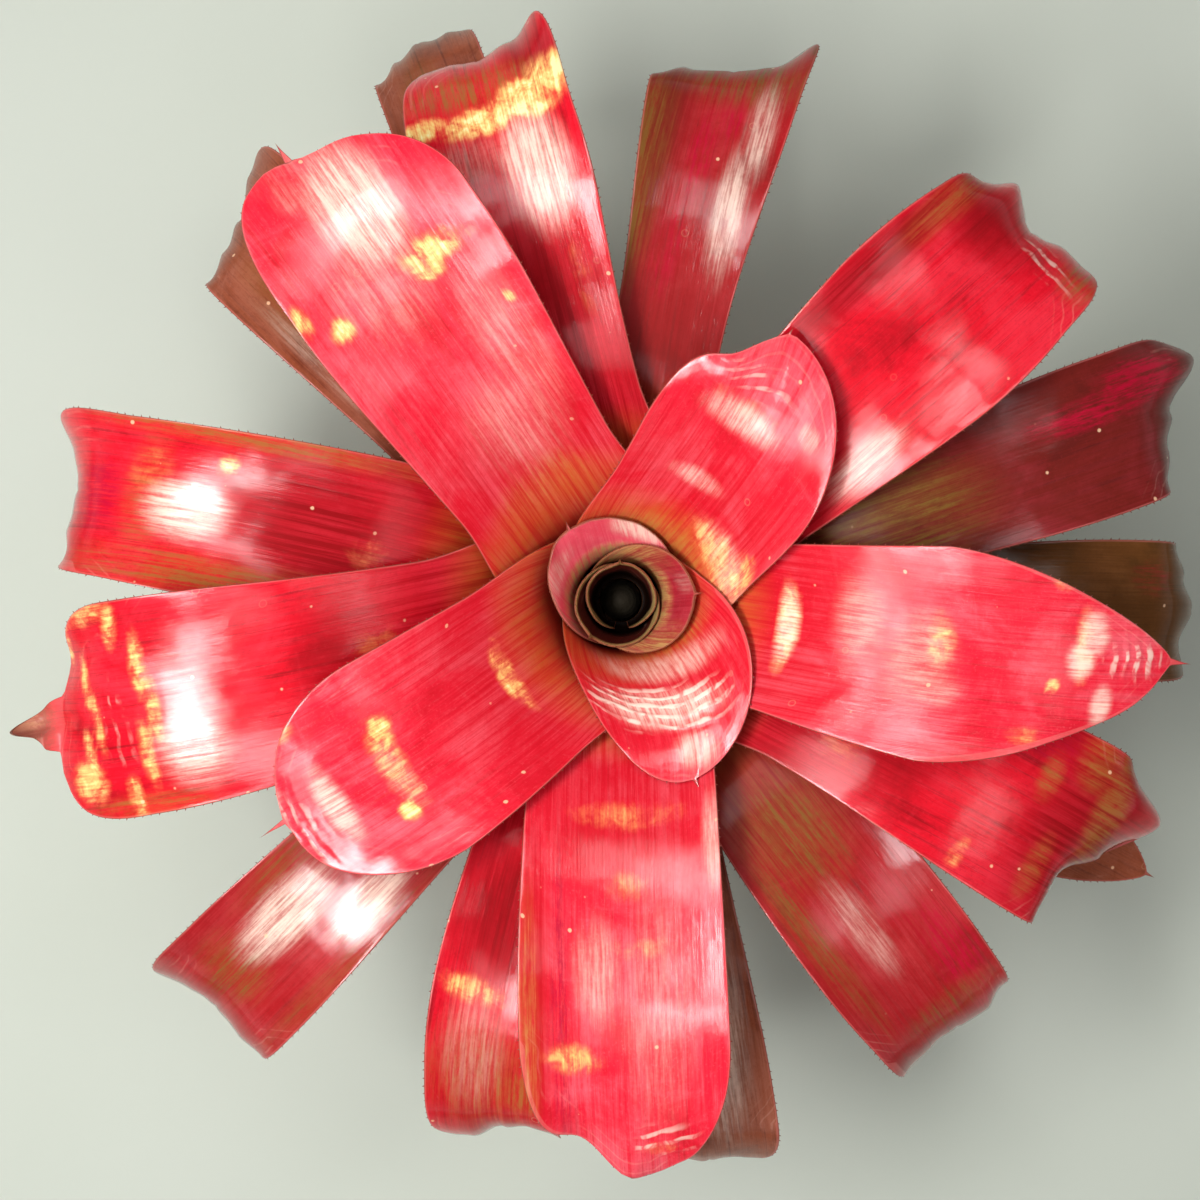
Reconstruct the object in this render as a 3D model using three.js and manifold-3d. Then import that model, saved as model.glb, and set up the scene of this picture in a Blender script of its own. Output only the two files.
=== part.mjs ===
// Potted neoregelia: a flat rosette of strap leaves whose sheaths nest into a water-holding
// tank, on a short stem bedded in potting mix in a plain clay pot. Millimetres, +Z up, the
// middle of the pot's underside at the origin.
import * as THREE from "three";
import { mergeVertices } from "three/addons/utils/BufferGeometryUtils.js";
import Module from "manifold-3d";

// Pot: a tapered clay pot with a collar and three drain holes round a solid middle.
const POT_HEIGHT = 115;
const POT_BASE_RADIUS = 50;
const POT_WALL = 6;
const POT_FLOOR = 7;
const POT_FLARE = 0.22; // gain in radius per millimetre of height
const COLLAR_HEIGHT = 26;
const COLLAR_RADIUS = 77;
const LIP_ROUND = 1.8;
const DRAIN_RADIUS = 5;
const DRAIN_CIRCLE = 26;

// Potting mix and stem.
const MIX_TOP = 96;
const MIX_DIP = 2; // how far the mix falls from the stem to the pot wall
const STEM_RADIUS = 8.1;
const STEM_FOOT = 78;
const SEAT_GAP = 0.3;

// Rosette. Sheath n (0 is innermost) is a cup of radius TUBE_RADIUS + n * SHEATH_PITCH. Every
// cup turns up on an arc about (ROOT_RADIUS, TANK_Z) and bends out on an arc about
// (FLARE_RADIUS, TANK_Z + TANK_WALL), so neighbouring sheaths stay one pitch apart.
const TUBE_RADIUS = 11.5;
const SHEATH_PITCH = 2.25;
const ROOT_RADIUS = 9;
const TANK_Z = 155;
const TANK_WALL = 10;
const FLARE_RADIUS = 96;
const SHEATH_SPREAD = 1.3; // sheath width over blade width
const WIDEST_WRAP = 2.9; // radians either side of the leaf's middle
const LEAF_THICKNESS = 0.9;
const TIP_HALF_WIDTH = 0.8;
const FACET_DEPTH = 0.48; // how far a sheath's flat facets may stand inside its true round

// Leaves from the heart outwards, lengths in millimetres and angles in degrees.
//   azimuth, swing  where the leaf points, and how far its blade veers from that by the tip
//   width, waist    widest part of the blade, and the share of it left at the throat
//   rise, fall      slope where the blade leaves the tank, and where its end starts to bend
//   blade, end      lengths of the open blade and of its bent end
//   curl, cup       bend of the end, and how far the margins stand above the midrib
//   taper, blunt    length of the outline's rounded tip, and its superellipse power
//   lean            sideways shift of the tip, as a share of half the width
const LEAVES = [
  // name, azimuth, swing, width, waist, rise, fall, blade, end, curl, cup, taper, blunt, lean
  ["heart_leaf_1", 92, 0, 52, 1, 86, 84, 2, 10, 0, 0, 16, 2, 0],
  ["heart_leaf_2", 230, 0, 62, 1, 82, 76, 2, 10, 0, 0, 18, 2, 0],
  ["heart_leaf_3", 7, 0, 60, 1, 76, 68, 2, 22, 5, 0, 24, 1.9, 0],
  ["heart_leaf_4", 124, 0, 76, 1, 70, 58, 4, 20, 8, 0, 26, 1.9, 0],
  ["upper_leaf_1", -53, -11, 71, 1, 58, 32, 17, 26, 26, 2, 38, 1.9, -0.1],
  ["upper_leaf_2", 50, 6, 80, 0.92, 48, 20, 55, 26, 15, 3, 48, 2, 0.1],
  ["upper_leaf_3", 217, -3, 84, 0.92, 42, 6, 77, 30, 20, 5, 45, 2.1, -0.2],
  ["upper_leaf_4", -10, 3, 80, 0.8, 38, -8, 122, 36, 10, 6, 84, 1.55, 0.05],
  ["upper_leaf_5", 125, 0, 84, 0.82, 38, 2, 118, 34, 25, 7, 36, 1.75, 0.25],
  ["upper_leaf_6", 270, 1, 76, 0.95, 36, -12, 126, 34, 25, 5, 56, 1.8, 0.05],
  ["middle_leaf_1", 42, 0, 74, 0.78, 33, -12, 132, 40, 80, 8, 34, 2.6, 0],
  ["middle_leaf_2", 193.5, -2, 80, 0.82, 31, -12, 125, 40, 60, 8, 36, 2.4, 0],
  ["middle_leaf_3", -28, 2, 74, 0.78, 29, -14, 119, 44, 70, 8, 36, 2.6, 0],
  ["middle_leaf_4", 105.5, -2, 72, 0.82, 28, -12, 118, 44, 70, 8, 34, 2.6, 0],
  ["middle_leaf_5", 255, 0, 54, 0.9, 26, -16, 122, 44, 85, 6, 34, 2.6, 0],
  ["middle_leaf_6", 19, 0, 62, 0.8, 24, -14, 126, 44, 70, 6, 34, 2.6, 0],
  ["lower_leaf_1", 168, 0, 57, 0.82, 22, -14, 119, 44, 85, 10, 34, 2.7, 0],
  ["lower_leaf_2", 309, -1, 55, 0.84, 20, -18, 114, 44, 80, 8, 34, 2.7, 0],
  ["lower_leaf_3", 78, 0, 58, 0.78, 18, -16, 110, 44, 85, 8, 34, 2.7, 0],
  ["lower_leaf_4", 225, 0, 57, 0.82, 15, -16, 122, 44, 80, 8, 34, 2.7, 0],
  ["lower_leaf_5", -1, 0, 58, 0.82, 12, -16, 114, 44, 75, 6, 34, 2.7, 0],
  ["lower_leaf_6", 135, 0, 50, 0.86, 9, -16, 105, 44, 75, 8, 34, 2.7, 0],
  ["lower_leaf_7", 279, 0, 55, 0.84, 6, -16, 109, 44, 60, 6, 34, 2.5, 0],
  ["lower_leaf_8", 110, 0, 44, 0.9, 3, -16, 119, 44, 75, 8, 34, 2.7, 0],
  ["lower_leaf_9", -28, 0, 44, 0.9, 0, -14, 105, 40, 10, 6, 62, 1.4, 0],
].map(([name, azimuth, swing, width, waist, rise, fall, blade, end, curl, cup, taper, blunt, lean]) =>
  ({ name, azimuth, swing, width, waist, rise, fall, blade, end, curl, cup, taper, blunt, lean }));

const MATERIALS = {
  heart: { color: 0xb8404a, roughness: 0.32, metalness: 0 },
  upper: { color: 0xd8303f, roughness: 0.3, metalness: 0 },
  middle: { color: 0xb02a38, roughness: 0.32, metalness: 0 },
  lower: { color: 0x7c3230, roughness: 0.35, metalness: 0 },
  stem: { color: 0x6b5a3c, roughness: 0.8, metalness: 0 },
  mix: { color: 0x3a2a1e, roughness: 0.95, metalness: 0 },
  pot: { color: 0xb5694a, roughness: 0.85, metalness: 0 },
};

const DEG = Math.PI / 180;
const wasm = await Module();
wasm.setup();
const group = new THREE.Group();

function add(name, geometry, finish) {
  const mesh = new THREE.Mesh(geometry, new THREE.MeshStandardMaterial(MATERIALS[finish]));
  mesh.name = name;
  group.add(mesh);
}

// Eases from 0 to 1 as x runs from 0 to 1, and stays flat outside.
function ease(x) {
  const t = Math.min(Math.max(x, 0), 1);
  return t * t * (3 - 2 * t);
}

// A turned body whose profile of [radius, height] pairs starts and ends on the axis.
function turned(profile, segments) {
  return new THREE.LatheGeometry(profile.map(([r, z]) => new THREE.Vector2(r, z)), segments)
    .rotateX(Math.PI / 2);
}

function sheathRadius(order) {
  return TUBE_RADIUS + order * SHEATH_PITCH;
}

// The midrib as a chain of circular arcs: [length, slope at its start, slope at its end, steps].
function midribArcs(order, leaf) {
  const radius = sheathRadius(order);
  const opening = order < 9 ? 4 : 3;
  const bladeSteps = Math.max(1, Math.round(leaf.blade / 40));
  return [
    [(radius - ROOT_RADIUS) * 90 * DEG, 0, 90 * DEG, 3],
    [TANK_WALL, 90 * DEG, 90 * DEG, 1],
    [(FLARE_RADIUS - radius) * (90 - leaf.rise) * DEG, 90 * DEG, leaf.rise * DEG, opening],
    [leaf.blade, leaf.rise * DEG, leaf.fall * DEG, bladeSteps],
    [leaf.end, leaf.fall * DEG, (leaf.fall - leaf.curl) * DEG, 4],
  ];
}

// Stations along the midrib, each with its distance s, radius r, height z and slope. Steps of
// the bent end grow shorter towards the tip, where the outline turns fastest.
function midrib(order, leaf) {
  const foot = TANK_Z - (sheathRadius(order) - ROOT_RADIUS);
  const stations = [{ s: 0, r: ROOT_RADIUS, z: foot, slope: 0 }];
  midribArcs(order, leaf).forEach(([length, from, to, steps], arc) => {
    const base = stations.at(-1);
    for (let n = 1; n <= steps; n++) {
      const t = arc === 4 ? 1 - (1 - n / steps) ** 1.6 : n / steps;
      const slope = from + (to - from) * t;
      const turn = slope - from;
      const outward = turn ? (Math.sin(slope) - Math.sin(from)) / turn : Math.cos(from);
      const upward = turn ? (Math.cos(from) - Math.cos(slope)) / turn : Math.sin(from);
      stations.push({
        s: base.s + length * t,
        r: base.r + length * t * outward,
        z: base.z + length * t * upward,
        slope,
      });
    }
  });
  return stations;
}

// One leaf: a strip wrapped round the plant's axis, cupped and curled, with a flat edge all round.
function leafGeometry(order, leaf) {
  const arcs = midribArcs(order, leaf);
  const wallTop = arcs[0][0] + arcs[1][0];
  const throat = wallTop + arcs[2][0];
  const total = throat + leaf.blade + leaf.end;
  const half = leaf.width / 2;
  const radius = sheathRadius(order);
  const wrap = Math.min((half * SHEATH_SPREAD) / radius, WIDEST_WRAP);
  const facet = 2 * Math.acos(1 - FACET_DEPTH / radius);
  const across = Math.max(2 * Math.ceil(wrap / facet), 6);

  function row(station, side) {
    const open = Math.min(Math.max((station.s - throat) / (total - throat), 0), 1);
    const tip = Math.max((station.s - total + leaf.taper) / leaf.taper, 0);
    const sheath = half * SHEATH_SPREAD;
    let reach = sheath + (half * leaf.waist - sheath) * ease((station.s - wallTop) / (throat - wallTop + 15));
    reach += half * (1 - leaf.waist) * ease(open / 0.75);
    reach *= Math.max(1 - tip ** leaf.blunt, 0) ** (1 / leaf.blunt);
    reach = Math.min(Math.max(reach, TIP_HALF_WIDTH), wrap * station.r);
    const azimuth = (leaf.azimuth + leaf.swing * open ** 2) * DEG;
    const points = [];
    for (let j = 0; j <= across; j++) {
      const y = ((2 * j) / across - 1) * reach + leaf.lean * half * tip ** 2;
      const lift = leaf.cup * ease(1.7 * open - 0.2) * (y / half) ** 2 + (side * LEAF_THICKNESS) / 2;
      const r = station.r - Math.sin(station.slope) * lift;
      const angle = azimuth + y / station.r;
      points.push(r * Math.cos(angle), r * Math.sin(angle), station.z + Math.cos(station.slope) * lift);
    }
    return points;
  }

  const stations = midrib(order, leaf);
  const positions = [1, -1].flatMap((side) => stations.flatMap((station) => row(station, side)));
  const last = stations.length - 1;
  const under = stations.length * (across + 1);
  const at = (i, j) => i * (across + 1) + j;
  const index = [];
  for (let i = 0; i < last; i++)
    for (let j = 0; j < across; j++) {
      const [a, b, c, d] = [at(i, j), at(i + 1, j), at(i + 1, j + 1), at(i, j + 1)];
      index.push(a, b, c, a, c, d, under + a, under + c, under + b, under + a, under + d, under + c);
    }
  const rim = [];
  for (let i = 0; i < last; i++) rim.push(at(i, 0));
  for (let j = 0; j < across; j++) rim.push(at(last, j));
  for (let i = last; i > 0; i--) rim.push(at(i, across));
  for (let j = across; j > 0; j--) rim.push(at(0, j));
  rim.forEach((p, n) => {
    const q = rim[(n + 1) % rim.length];
    index.push(p, under + p, under + q, p, under + q, q);
  });
  const geometry = new THREE.BufferGeometry();
  geometry.setAttribute("position", new THREE.Float32BufferAttribute(positions, 3));
  geometry.setIndex(index);
  geometry.computeVertexNormals();
  return geometry;
}

// The pot's outer radius, were its body to run on behind the collar, at a height.
function potRadius(z) {
  return POT_BASE_RADIUS + POT_FLARE * z;
}

function addPot() {
  const collarFoot = POT_HEIGHT - COLLAR_HEIGHT;
  const body = turned([
    [0, 0],
    [POT_BASE_RADIUS - 1, 0],
    [POT_BASE_RADIUS, 1],
    [potRadius(collarFoot), collarFoot],
    [COLLAR_RADIUS - 2, collarFoot],
    [COLLAR_RADIUS - 1, collarFoot + 1.5],
    [COLLAR_RADIUS, POT_HEIGHT - LIP_ROUND],
    [COLLAR_RADIUS - LIP_ROUND, POT_HEIGHT],
    [potRadius(POT_HEIGHT) - POT_WALL + LIP_ROUND, POT_HEIGHT],
    [potRadius(POT_HEIGHT - LIP_ROUND) - POT_WALL, POT_HEIGHT - LIP_ROUND],
    [potRadius(POT_FLOOR) - POT_WALL, POT_FLOOR],
    [0, POT_FLOOR],
  ], 40);
  const drains = [0, 1, 2].map((n) =>
    new THREE.CylinderGeometry(DRAIN_RADIUS, DRAIN_RADIUS, 3 * POT_FLOOR, 12)
      .rotateX(Math.PI / 2)
      .translate(DRAIN_CIRCLE * Math.cos(n * 120 * DEG), DRAIN_CIRCLE * Math.sin(n * 120 * DEG), 0));
  const drained = drains.reduce((pot, drain) => pot.subtract(toSolid(drain)), toSolid(body));
  add("pot", fromSolid(drained), "pot");
}

function toSolid(geometry) {
  geometry.deleteAttribute("normal");
  geometry.deleteAttribute("uv");
  const merged = mergeVertices(geometry, 1e-3);
  return new wasm.Manifold(new wasm.Mesh({
    numProp: 3,
    vertProperties: merged.getAttribute("position").array,
    triVerts: new Uint32Array(merged.index.array),
  }));
}

function fromSolid(solid) {
  const { vertProperties, triVerts } = solid.getMesh();
  const geometry = new THREE.BufferGeometry();
  geometry.setAttribute("position", new THREE.Float32BufferAttribute(vertProperties, 3));
  geometry.setIndex(Array.from(triVerts));
  geometry.computeVertexNormals();
  return geometry;
}

// Potting mix: fills the pot from its floor, and takes the foot of the stem in a socket.
function addMix() {
  const inside = (z) => potRadius(z) - POT_WALL - SEAT_GAP;
  const foot = POT_FLOOR + SEAT_GAP;
  const socket = STEM_RADIUS + SEAT_GAP;
  add("potting_mix", turned([
    [0, foot],
    [inside(foot), foot],
    [inside(MIX_TOP - MIX_DIP), MIX_TOP - MIX_DIP],
    [40, MIX_TOP - MIX_DIP / 3],
    [socket, MIX_TOP],
    [socket, STEM_FOOT - SEAT_GAP],
    [0, STEM_FOOT - SEAT_GAP],
  ], 32), "mix");
}

// Stem: a stub that carries every leaf, closed by the growing point at the bottom of the heart.
function addStem() {
  add("stem", turned([
    [0, STEM_FOOT],
    [STEM_RADIUS, STEM_FOOT],
    [STEM_RADIUS, TANK_Z - 5],
    [STEM_RADIUS - 2, TANK_Z - 1],
    [STEM_RADIUS - 6, TANK_Z + 2],
    [0, TANK_Z + 3],
  ], 24), "stem");
}

addPot();
addMix();
addStem();
LEAVES.forEach((leaf, order) => add(leaf.name, leafGeometry(order, leaf), leaf.name.split("_")[0]));

export default group;
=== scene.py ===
import math

import bpy
import numpy as np
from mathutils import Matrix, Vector


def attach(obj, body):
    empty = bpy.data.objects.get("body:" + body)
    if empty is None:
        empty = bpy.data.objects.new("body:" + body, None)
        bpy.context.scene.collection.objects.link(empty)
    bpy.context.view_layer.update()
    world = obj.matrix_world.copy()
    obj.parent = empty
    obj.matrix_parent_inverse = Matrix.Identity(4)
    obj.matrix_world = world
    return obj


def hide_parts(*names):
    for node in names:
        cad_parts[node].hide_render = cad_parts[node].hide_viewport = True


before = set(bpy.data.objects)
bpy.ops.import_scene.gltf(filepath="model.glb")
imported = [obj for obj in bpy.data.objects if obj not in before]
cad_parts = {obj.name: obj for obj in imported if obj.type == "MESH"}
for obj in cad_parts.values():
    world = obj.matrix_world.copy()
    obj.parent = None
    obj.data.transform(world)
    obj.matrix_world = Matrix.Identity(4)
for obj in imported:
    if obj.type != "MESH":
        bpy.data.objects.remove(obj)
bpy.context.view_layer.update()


# The pot: an ordinary tapered flower pot of unglazed red clay, pressed, turned and fired, with a
# thick collar to stack and lift it by, three drain holes, and the pale bloom of lime and salts
# that watering brings out through its wall.
MM = 0.001  # sizes are in millimetres, and meshes in metres
POT_HEIGHT = 115
POT_BASE = 50  # outer radius of the foot
POT_TAPER = 0.22  # how fast the outer radius grows with height
POT_WALL = 6
POT_FLOOR = 7
COLLAR_RADIUS = 77
COLLAR_FOOT = 89  # height of the step under the collar
RIM_CORNER = 2.4  # how much the rim's two edges are worn away
DRAINS = 3  # holes through the floor
DRAIN_CIRCLE = 26
DRAIN_RADIUS = 5


class Reading:
    """A number that varies over a surface, with the arithmetic to work on it."""

    def __init__(self, net, socket):
        self.net = net
        self.socket = socket

    def __add__(self, other):
        return self.net.math("ADD", self, other)

    def __radd__(self, other):
        return self.net.math("ADD", other, self)

    def __sub__(self, other):
        return self.net.math("SUBTRACT", self, other)

    def __rsub__(self, other):
        return self.net.math("SUBTRACT", other, self)

    def __mul__(self, other):
        return self.net.math("MULTIPLY", self, other)

    def __truediv__(self, other):
        return self.net.math("DIVIDE", self, other)

    def __rtruediv__(self, other):
        return self.net.math("DIVIDE", other, self)

    def __pow__(self, other):
        return self.net.math("POWER", self, other)

    def __abs__(self):
        return self.net.math("ABSOLUTE", self)

    def least(self, other):
        """The reading, but at least other."""
        return self.net.math("MAXIMUM", self, other)

    def most(self, other):
        """The reading, but at most other."""
        return self.net.math("MINIMUM", self, other)

    def ease(self, low, high):
        """0 below low, 1 above high, and a smooth rise between; it falls where low is above high."""
        if isinstance(low, float | int) and isinstance(high, float | int) and low > high:
            return 1.0 - self.ease(high, low)
        inputs = {"Value": self, "From Min": low, "From Max": high}
        made = self.net.node("ShaderNodeMapRange", inputs, interpolation_type="SMOOTHSTEP")
        return Reading(self.net, made.outputs["Result"])


class Net:
    """Adds nodes to one tree, each joined to what it reads."""

    def __init__(self, tree):
        self.tree = tree

    def feed(self, socket, value):
        if isinstance(value, Reading):
            self.tree.links.new(value.socket, socket)
        elif isinstance(value, bpy.types.NodeSocket):
            self.tree.links.new(value, socket)
        else:
            socket.default_value = value

    def node(self, kind, inputs=(), **settings):
        made = self.tree.nodes.new(kind)
        for key, value in settings.items():
            setattr(made, key, value)
        for key, value in dict(inputs).items():
            self.feed(made.inputs[key], value)
        return made

    def math(self, operation, *values):
        made = self.tree.nodes.new("ShaderNodeMath")
        made.operation = operation
        for socket, value in zip(made.inputs, values):
            self.feed(socket, value)
        return Reading(self, made.outputs[0])

    def point(self, x, y, z):
        made = self.node("ShaderNodeCombineXYZ", {"X": x, "Y": y, "Z": z})
        return made.outputs[0]

    def parts(self, vector):
        made = self.node("ShaderNodeSeparateXYZ", {"Vector": vector})
        return [Reading(self, socket) for socket in made.outputs]

    def noise(self, place, scale, detail, rough=0.5, distort=0.0):
        inputs = {"Vector": place, "Scale": scale, "Detail": detail, "Roughness": rough}
        inputs["Distortion"] = distort
        return Reading(self, self.node("ShaderNodeTexNoise", inputs).outputs[0])

    def cells(self, place):
        """Distance to the nearest scattered point, and that point's own random colour."""
        made = self.node("ShaderNodeTexVoronoi", {"Vector": place, "Scale": 1.0}, feature="F1")
        return Reading(self, made.outputs["Distance"]), made.outputs["Color"]

    def mix(self, amount, low, high):
        """Blends two colours; a colour is three numbers or the output of an earlier blend."""
        made = self.node("ShaderNodeMix", data_type="RGBA", clamp_factor=True)
        # Of its sockets, input 0 is the factor, 6 and 7 the two colours, and output 2 their blend.
        self.feed(made.inputs[0], amount)
        for socket, colour in ((made.inputs[6], low), (made.inputs[7], high)):
            self.feed(socket, (*colour, 1.0) if isinstance(colour, tuple) else colour)
        return made.outputs[2]


def finish_net(name, **even):
    """A new material with one Principled shader: its net, the shader, and the even settings made."""
    material = bpy.data.materials.new(name)
    material.use_nodes = True
    net = Net(material.node_tree)
    shader = material.node_tree.nodes["Principled BSDF"]
    for socket, value in even.items():
        shader.inputs[socket.replace("_", " ")].default_value = value
    return material, net, shader


def relief(net, shader, height, depth):
    """Raises the surface by height times depth, in metres, and returns the bump's normal."""
    bump = net.node("ShaderNodeBump", {"Strength": 1.0, "Distance": depth, "Height": height})
    net.feed(shader.inputs["Normal"], bump.outputs[0])
    return bump.outputs[0]


def fired_clay():
    """Red clay with turning lines, a damp foot, and salts below the collar and on both edges."""
    material, net, shader = finish_net("fired_clay", IOR=1.5, Specular_IOR_Level=0.35)
    place = net.node("ShaderNodeTexCoord").outputs["Object"]
    x, y, z = net.parts(place)
    height = z * (1 / MM)
    cloud = net.noise(place, 22.0, 5.0, 0.6)
    grain = net.noise(place, 900.0, 4.0, 0.65)
    turning = net.noise(net.point(x * 4.0, y * 4.0, z * 420.0), 1.0, 3.0, 0.55)
    run = net.noise(net.point(x * 60.0, y * 60.0, z * 9.0), 1.0, 4.0, 0.6, 0.6)
    body = net.mix(cloud.ease(0.3, 0.7), (0.36, 0.125, 0.058), (0.56, 0.235, 0.12))
    body = net.mix(grain.ease(0.62, 0.8) * 0.5, body, (0.2, 0.08, 0.05))
    damp = height.ease(62.0, 8.0) * run.ease(0.3, 0.62)
    body = net.mix(damp * 0.55, body, (0.2, 0.075, 0.042))
    bloom = height.ease(30.0, 74.0) * height.ease(96.0, 84.0) * run.ease(0.45, 0.7)
    rim = height.ease(104.0, 113.0) * cloud.ease(0.42, 0.66) * 0.6
    salt = (bloom * 0.7 + rim + height.ease(5.0, 0.5) * 0.5).most(1.0)
    body = net.mix(salt * grain.ease(0.25, 0.6), body, (0.72, 0.62, 0.52))
    net.feed(shader.inputs["Base Color"], body)
    net.feed(shader.inputs["Roughness"], 0.78 + grain * 0.14 - damp * 0.12)
    relief(net, shader, grain * 0.35 + turning * 0.8 + cloud * 0.6 + salt * 0.25, 0.0006)
    return material


def eased_corners(profile, cut):
    """The profile with each inner corner rounded by a curve that starts at most cut mm before it."""
    points = [Vector(p) for p in profile]
    eased = [points[0]]
    for before, corner, after in zip(points, points[1:], points[2:]):
        near = min(cut, (corner - before).length * 0.45, (after - corner).length * 0.45)
        start = corner + (before - corner).normalized() * near
        end = corner + (after - corner).normalized() * near
        for step in range(5):
            t = step / 4
            eased.append(start * (1 - t) ** 2 + corner * 2 * t * (1 - t) + end * t**2)
    return eased + [points[-1]]


def turned(name, profile, around):
    """A turned solid from a profile of (radius, height) in mm that starts and ends on the axis."""
    inner = profile[1:-1]
    spots = [(0, 0, profile[0][1] * MM)]
    for radius, height in inner:
        for n in range(around):
            turn = 2 * math.pi * n / around
            spots.append((radius * MM * math.cos(turn), radius * MM * math.sin(turn), height * MM))
    spots.append((0, 0, profile[-1][1] * MM))
    last = len(spots) - 1
    faces = []
    for n in range(around):
        m = (n + 1) % around
        faces.append((0, 1 + m, 1 + n))
        for row in range(len(inner) - 1):
            a = 1 + row * around
            b = a + around
            faces.append((a + n, a + m, b + m, b + n))
        a = 1 + (len(inner) - 1) * around
        faces.append((a + n, a + m, last))
    mesh = bpy.data.meshes.new(name)
    mesh.from_pydata(spots, [], faces)
    mesh.shade_smooth()
    piece = bpy.data.objects.new(name, mesh)
    bpy.context.scene.collection.objects.link(piece)
    return piece


def made_plain(piece):
    """Bakes the piece's modifiers into its mesh and removes them."""
    bpy.context.view_layer.update()
    finished = piece.evaluated_get(bpy.context.evaluated_depsgraph_get())
    mesh = bpy.data.meshes.new_from_object(finished)
    piece.modifiers.clear()
    piece.data = mesh
    mesh.name = piece.name
    return piece


def pot_radius(height):
    return POT_BASE + POT_TAPER * height


def clay_pot():
    inner_floor = pot_radius(POT_FLOOR) - POT_WALL
    inner_rim = pot_radius(POT_HEIGHT - 2) - POT_WALL
    profile = [
        (0, 0), (POT_BASE - 1, 0), (POT_BASE, 1), (pot_radius(COLLAR_FOOT), COLLAR_FOOT),
        (COLLAR_RADIUS - 2, COLLAR_FOOT), (COLLAR_RADIUS - 1, COLLAR_FOOT + 1.5),
        (COLLAR_RADIUS, POT_HEIGHT - RIM_CORNER), (COLLAR_RADIUS - RIM_CORNER, POT_HEIGHT),
        (inner_rim + RIM_CORNER, POT_HEIGHT), (inner_rim, POT_HEIGHT - RIM_CORNER),
        (inner_floor, POT_FLOOR), (0, POT_FLOOR),
    ]
    pot = turned("clay_pot", eased_corners(profile, cut=1.6), around=128)
    for n in range(DRAINS):
        turn = math.radians(360 / DRAINS * n)
        x, y = DRAIN_CIRCLE * MM * math.cos(turn), DRAIN_CIRCLE * MM * math.sin(turn)
        bpy.ops.mesh.primitive_cylinder_add(
            vertices=32, radius=DRAIN_RADIUS * MM, depth=12 * MM, location=(x, y, POT_FLOOR / 2 * MM)
        )
        drill = bpy.context.object
        cut = pot.modifiers.new("drain", "BOOLEAN")
        cut.operation = "DIFFERENCE"
        cut.object = drill
        made_plain(pot)
        bpy.data.objects.remove(drill)
    pot.data.materials.clear()
    pot.data.materials.append(fired_clay())
    pot.data.shade_smooth()
    pot.data.set_sharp_from_angle(angle=math.radians(50))
    return pot


pot = clay_pot()
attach(pot, "root")
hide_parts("pot")


# The potting mix: a bed of peat filled to a little below the rim, dressed with loose chips of
# graded bark and grains of white perlite, as bromeliads are potted so that the mix drains fast.
BED_WALL_GAP = 0.3
BED_TOP = 96
STEM_PIT_RADIUS = 8.4  # the pit that the stem stands in
STEM_PIT_FLOOR = 77.7
SHORTEST_CHIP = 5
LONGEST_CHIP = 12


def bark_and_perlite():
    """Peat where "grain" is 0, bark of many tones up to 0.93, and white perlite above that."""
    material, net, shader = finish_net("bark_and_perlite", IOR=1.45, Specular_IOR_Level=0.3)
    place = net.node("ShaderNodeTexCoord").outputs["Object"]
    shade = net.node("ShaderNodeAttribute", attribute_name="grain")
    grain = Reading(net, shade.outputs["Fac"])
    coarse = net.noise(place, 240.0, 5.0, 0.65)
    fine = net.noise(place, 1500.0, 4.0, 0.6)
    peat = net.mix(coarse.ease(0.3, 0.7), (0.018, 0.012, 0.008), (0.075, 0.045, 0.026))
    bark = net.mix(coarse.ease(0.35, 0.68), (0.085, 0.04, 0.02), (0.27, 0.15, 0.08))
    bark = net.mix(grain.ease(0.2, 0.8) * 0.6, bark, (0.2, 0.12, 0.075))
    bark = net.mix(fine.ease(0.6, 0.8) * 0.6, bark, (0.03, 0.018, 0.01))
    colour = net.mix(grain.ease(0.02, 0.06), peat, bark)
    colour = net.mix(grain.ease(0.93, 0.95), colour, (0.78, 0.76, 0.7))
    net.feed(shader.inputs["Base Color"], colour)
    net.feed(shader.inputs["Roughness"], 0.82 + fine * 0.15)
    relief(net, shader, coarse * 0.7 + fine * 0.3, 0.0012)
    return material


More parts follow.
